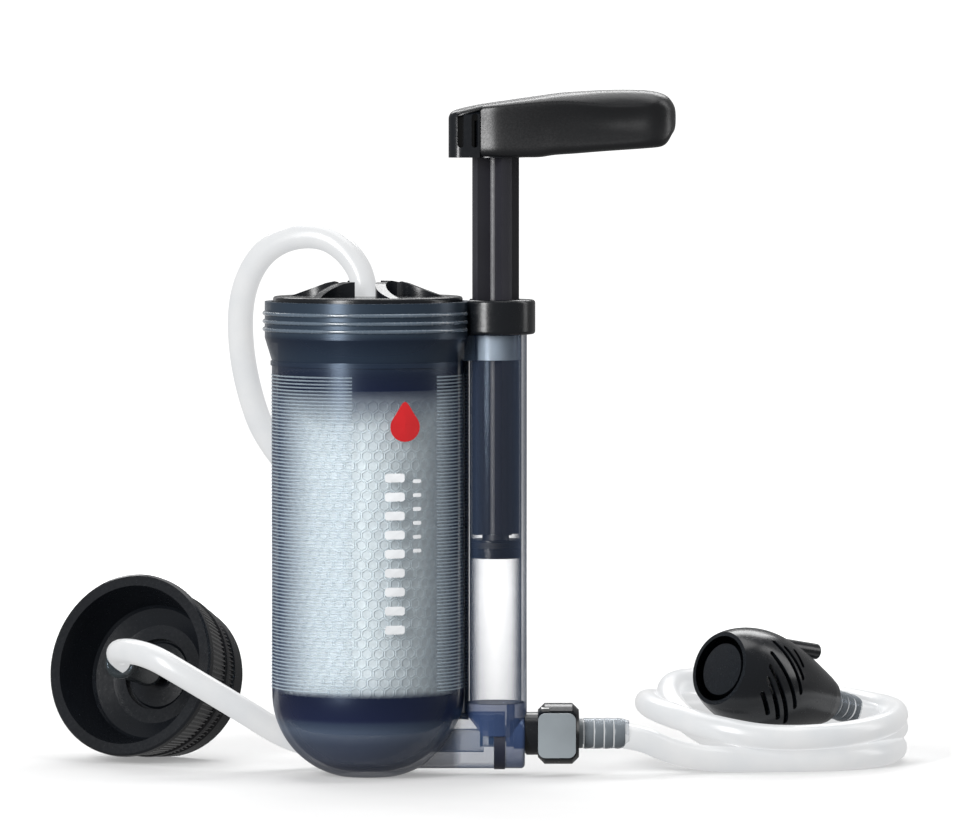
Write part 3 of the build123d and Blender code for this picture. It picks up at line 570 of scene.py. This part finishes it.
def printed_patch(name, outline, material):
    """Ink on the window: a flat outline of (x, z) in mm laid on the barrel's front."""
    points = []
    count = len(outline)
    inner, outer = 28.66, 28.74
    for reach in (inner, outer):
        for x, z in outline:
            turn = asin(x / BARREL_R)
            points.append((reach * sin(turn) * MM, -reach * cos(turn) * MM, z * MM))
    centre_x = sum(x for x, _ in outline) / count
    centre_z = sum(z for _, z in outline) / count
    turn = asin(centre_x / BARREL_R)
    points.append((outer * sin(turn) * MM, -outer * cos(turn) * MM, centre_z * MM))
    faces = [(count + corner, count + (corner + 1) % count, 2 * count) for corner in range(count)]
    faces += [(corner, (corner + 1) % count, count + (corner + 1) % count, count + corner)
              for corner in range(count)]
    mesh_piece(name, points, faces, material, "housing", smooth=False)


def rounded_bar(low_x, high_x, low_z, high_z, corner):
    outline = []
    for x, z, start in ((high_x, high_z, 0), (low_x, high_z, 90), (low_x, low_z, 180), (high_x, low_z, 270)):
        inward_x = -corner if x == high_x else corner
        inward_z = -corner if z == high_z else corner
        for step in range(4):
            turn = radians(start + step * 30)
            outline.append((x + inward_x + corner * cos(turn), z + inward_z + corner * sin(turn)))
    return outline


def label_marks():
    """Plain bars of a fill scale and a water drop, all generic."""
    drop, steps, radius = [], 36, 4.3
    for step in range(steps):
        turn = 2 * pi * step / steps
        pinch = 1.0 + 0.75 * max(0.0, sin(turn)) ** 6
        drop.append((11.3 + radius * cos(turn) * (1.15 - 0.15 * pinch), 105.0 + radius * sin(turn) * pinch))
    printed_patch("label_drop", drop, RED_INK)
    for index in range(9):
        low = 44.0 + index * 5.6
        printed_patch(f"label_bar_{index}", rounded_bar(5.4, 11.2, low, low + 2.6, 0.8), WHITE_INK)
    for index in range(6):
        low = 68.0 + index * 4.1
        printed_patch(f"label_tick_{index}", rounded_bar(13.6, 16.0, low, low + 1.1, 0.4), WHITE_INK)


ribbed_skin()
collar_beads()
pump_web()
hexagon_net()
label_marks()


# ---------------------------------------------------------------- adapter details

def knurled_band():
    """Fine grip ridges round the adapter's waist and cone."""
    points, faces = [], []
    for count, (level_a, radius_a), (level_b, radius_b), proud in (
            (110, (-17.1, 24.1), (-21.3, 24.0), 0.4), (110, (-4.0, 26.7), (-14.0, 25.3), 0.28)):
        for index in range(count):
            turn = 2 * pi * index / count
            half = pi / count * 0.6
            base = len(points)
            for lift, spread in ((0.0, 1.0), (proud, 0.45)):
                for level, radius in ((level_a, radius_a), (level_b, radius_b)):
                    for side in (-1, 1):
                        angle = turn + side * half * spread
                        reach = (radius + lift) * MM
                        points.append(CUP @ Vector((reach * cos(angle), reach * sin(angle), level * MM)))
            faces += [(base + 4, base + 5, base + 7, base + 6), (base, base + 4, base + 6, base + 2),
                      (base + 1, base + 3, base + 7, base + 5), (base, base + 1, base + 5, base + 4),
                      (base + 2, base + 6, base + 7, base + 3)]
    mesh_piece("adapter_grip_ridges", points, faces, GLOSS, "housing", smooth=False)


knurled_band()


# ---------------------------------------------------------------- handle

def read_off(table, x):
    """Height at x from a table of (x, z) points, straight between them."""
    if x <= table[0][0]:
        return table[0][1]
    for (x0, z0), (x1, z1) in zip(table, table[1:]):
        if x <= x1:
            share = (x - x0) / (x1 - x0)
            return z0 + (z1 - z0) * share
    return table[-1][1]


GRIP_TOP = [(24.2, 196.9), (25.2, 197.9), (26.8, 198.5), (33.3, 199.9), (45.2, 201.6), (57.1, 203.3),
            (69.0, 204.05), (77.9, 204.2), (84.5, 203.9), (87.5, 203.1), (89.2, 202.1), (90.6, 200.4),
            (91.3, 199.0), (91.6, 197.0)]
GRIP_CREASE = [(24.2, 195.6), (33.3, 198.6), (45.2, 199.9), (53.6, 200.5), (58.3, 200.7), (64.3, 200.2),
               (72.0, 199.4), (80.9, 199.6), (86.0, 200.1), (90.0, 199.0), (91.6, 196.6)]
GRIP_BOTTOM = [(33.3, 184.05), (51.8, 184.05), (54.7, 184.8), (60.7, 185.1), (69.0, 185.8), (80.9, 186.6),
               (87.2, 187.1), (88.4, 187.7), (89.3, 188.8), (89.9, 190.6), (91.2, 192.0), (91.6, 194.6)]
GRIP_HOLLOW = [(33.3, 0.0), (46.0, 0.3), (60.0, 1.6), (70.0, 2.4), (80.0, 1.7), (90.0, 0.4)]
GRIP_START, NOSE_START, NOSE_END = 33.0, 82.5, 91.6
HUB_HALF_WIDTH, HUB_TAPER_END = 9.55, 27


def grip_section(x):
    """Half of the grip's outline across its length, from the top's middle to the bottom's."""
    top, crease, bottom = (read_off(table, x) for table in (GRIP_TOP, GRIP_CREASE, GRIP_BOTTOM))
    hollow = read_off(GRIP_HOLLOW, x)
    height = crease - bottom
    half = [(0.0, top), (3.5, top - 0.12), (6.4, top - 0.55), (8.6, (top + crease) / 2 + 0.15),
            (9.9, crease + 0.25), (10.25, crease - 0.5), (10.25 - hollow * 0.6, crease - height * 0.18),
            (10.3 - hollow, crease - height * 0.4), (10.5 - hollow * 0.6, crease - height * 0.62),
            (10.8, bottom + height * 0.2), (10.6, bottom + 1.6), (10.0, bottom + 0.6), (8.9, bottom),
            (4.5, bottom)]
    share = max(0.0, (x - NOSE_START) / (NOSE_END - NOSE_START))
    nose = max(0.16, sqrt(max(0.0, 1.0 - share * share)))
    width = nose * (0.86 + 0.14 * min(1.0, (x - GRIP_START) / 5.0))
    return [(y * width, z) for y, z in half] + [(0.0, bottom)]


def grip_loft(name, rings):
    """A capped, rounded skin of the handle through rings of (x, y, z) in mm."""
    points = [(x * MM, y * MM, z * MM) for ring in rings for x, y, z in ring]
    piece = mesh_piece(name, points, capped_faces(len(rings), len(rings[0])), GRIP, "handle")
    subdivision = piece.modifiers.new("rounding", "SUBSURF")
    subdivision.levels = 2
    subdivision.render_levels = 2
    return piece


def handle_skin():
    """The moulded grip: bright crowned top, a wavy crease and a hollow for the fingers."""
    rings = []
    for x in (33.0, 33.5, 35.2, 37.5, 40, 44, 48, 51.5, 54, 57, 60.5, 64, 68, 72, 76, 80, 83.5, 86, 87.8,
              89.2, 90.3, 91.1, 91.5):
        half = grip_section(x)
        rings.append([(x, y, z) for y, z in half] + [(x, -y, z) for y, z in reversed(half[1:-1])])
    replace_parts(grip_loft("handle_skin", rings), "handle_grip")


def hub_skin():
    """The grip's skin carried on over the top of the hub."""
    rings = []
    for x in (24.3, 24.9, 26.2, 28.5, 31.0, 33.6, 34.6):
        top, crease = read_off(GRIP_TOP, x), read_off(GRIP_CREASE, x)
        wide = HUB_HALF_WIDTH - max(0, HUB_TAPER_END - x)
        half = [(0.0, top), (3.5, top - 0.12), (6.4, top - 0.55), (wide - 0.9, (top + crease) / 2 + 0.3),
                (wide, crease - 0.2), (wide - 0.4, crease - 0.9)]
        rings.append([(x, y, z) for y, z in half] + [(x, -y, z) for y, z in reversed(half[1:])])
    grip_loft("hub_skin", rings)


handle_skin()
hub_skin()


# ---------------------------------------------------------------- stage and light

def sweep_floor():
    """Pale floor that curves up into a backdrop, far enough back to stand behind every view."""
    front, back, sweep, top, steps = -6.0, 4.0, 0.9, 5.0, 12
    profile = [(front, 0.0), (back, 0.0)]
    for step in range(1, steps + 1):
        turn = radians(90 * step / steps)
        profile.append((back + sweep * sin(turn), sweep * (1 - cos(turn))))
    profile.append((back + sweep, top))
    across = (-6.0, -2.0, 2.0, 6.0)
    points = [(x, y, z) for y, z in profile for x in across]
    faces = grid_faces(len(profile), len(across), closed_columns=False)
    floor = mesh_piece("floor", points, faces, FLOOR, None)
    floor.visible_diffuse = False
    floor.visible_glossy = False


def floor_material():
    material, tree, shader = new_material("floor_paper")
    noise = object_noise(tree, 30)
    tone = ramp(tree, noise.outputs["Fac"], [(0.3, grey(0.49)), (0.7, grey(0.51))])
    tree.links.new(tone.outputs["Color"], shader.inputs["Base Color"])
    shader.inputs["Roughness"].default_value = 0.9
    shader.inputs["Specular IOR Level"].default_value = 0.1
    coords = tree.nodes.new("ShaderNodeTexCoord")
    parts = tree.nodes.new("ShaderNodeSeparateXYZ")
    tree.links.new(coords.outputs["Object"], parts.inputs["Vector"])
    painted_glow = ramp(tree, parts.outputs["Y"], [(0.22, grey(0.27)), (0.8, grey(1.0))])
    tree.links.new(painted_glow.outputs["Color"], shader.inputs["Emission Color"])
    shader.inputs["Emission Strength"].default_value = 1.0
    return material


FLOOR = floor_material()
sweep_floor()


def soft_light(name, place, aim, width, height, watts):
    data = bpy.data.lights.new(name, "AREA")
    data.shape = "RECTANGLE"
    data.size = width
    data.size_y = height
    data.energy = watts
    light = bpy.data.objects.new(name, data)
    light.location = place
    light.rotation_euler = (Vector(aim) - Vector(place)).to_track_quat("-Z", "Y").to_euler()
    bpy.context.scene.collection.objects.link(light)


soft_light("key", (-0.60, -0.92, 0.42), (0, 0, 0.09), 0.30, 0.8, 17)
soft_light("top", (0.1, 0.15, 1.2), (0, 0, 0.0), 1.2, 0.7, 8)
soft_light("back", (0.0, 1.0, 1.0), (0.03, 0, 0.12), 1.4, 0.5, 14)
soft_light("rim", (0.9, 0.1, 0.5), (0.03, 0, 0.1), 0.25, 0.9, 2.5)

world = bpy.data.worlds.new("studio")
world.use_nodes = True
background = world.node_tree.nodes["Background"]
background.inputs["Color"].default_value = (1, 1, 1, 1)
background.inputs["Strength"].default_value = 0.28
bpy.context.scene.world = world
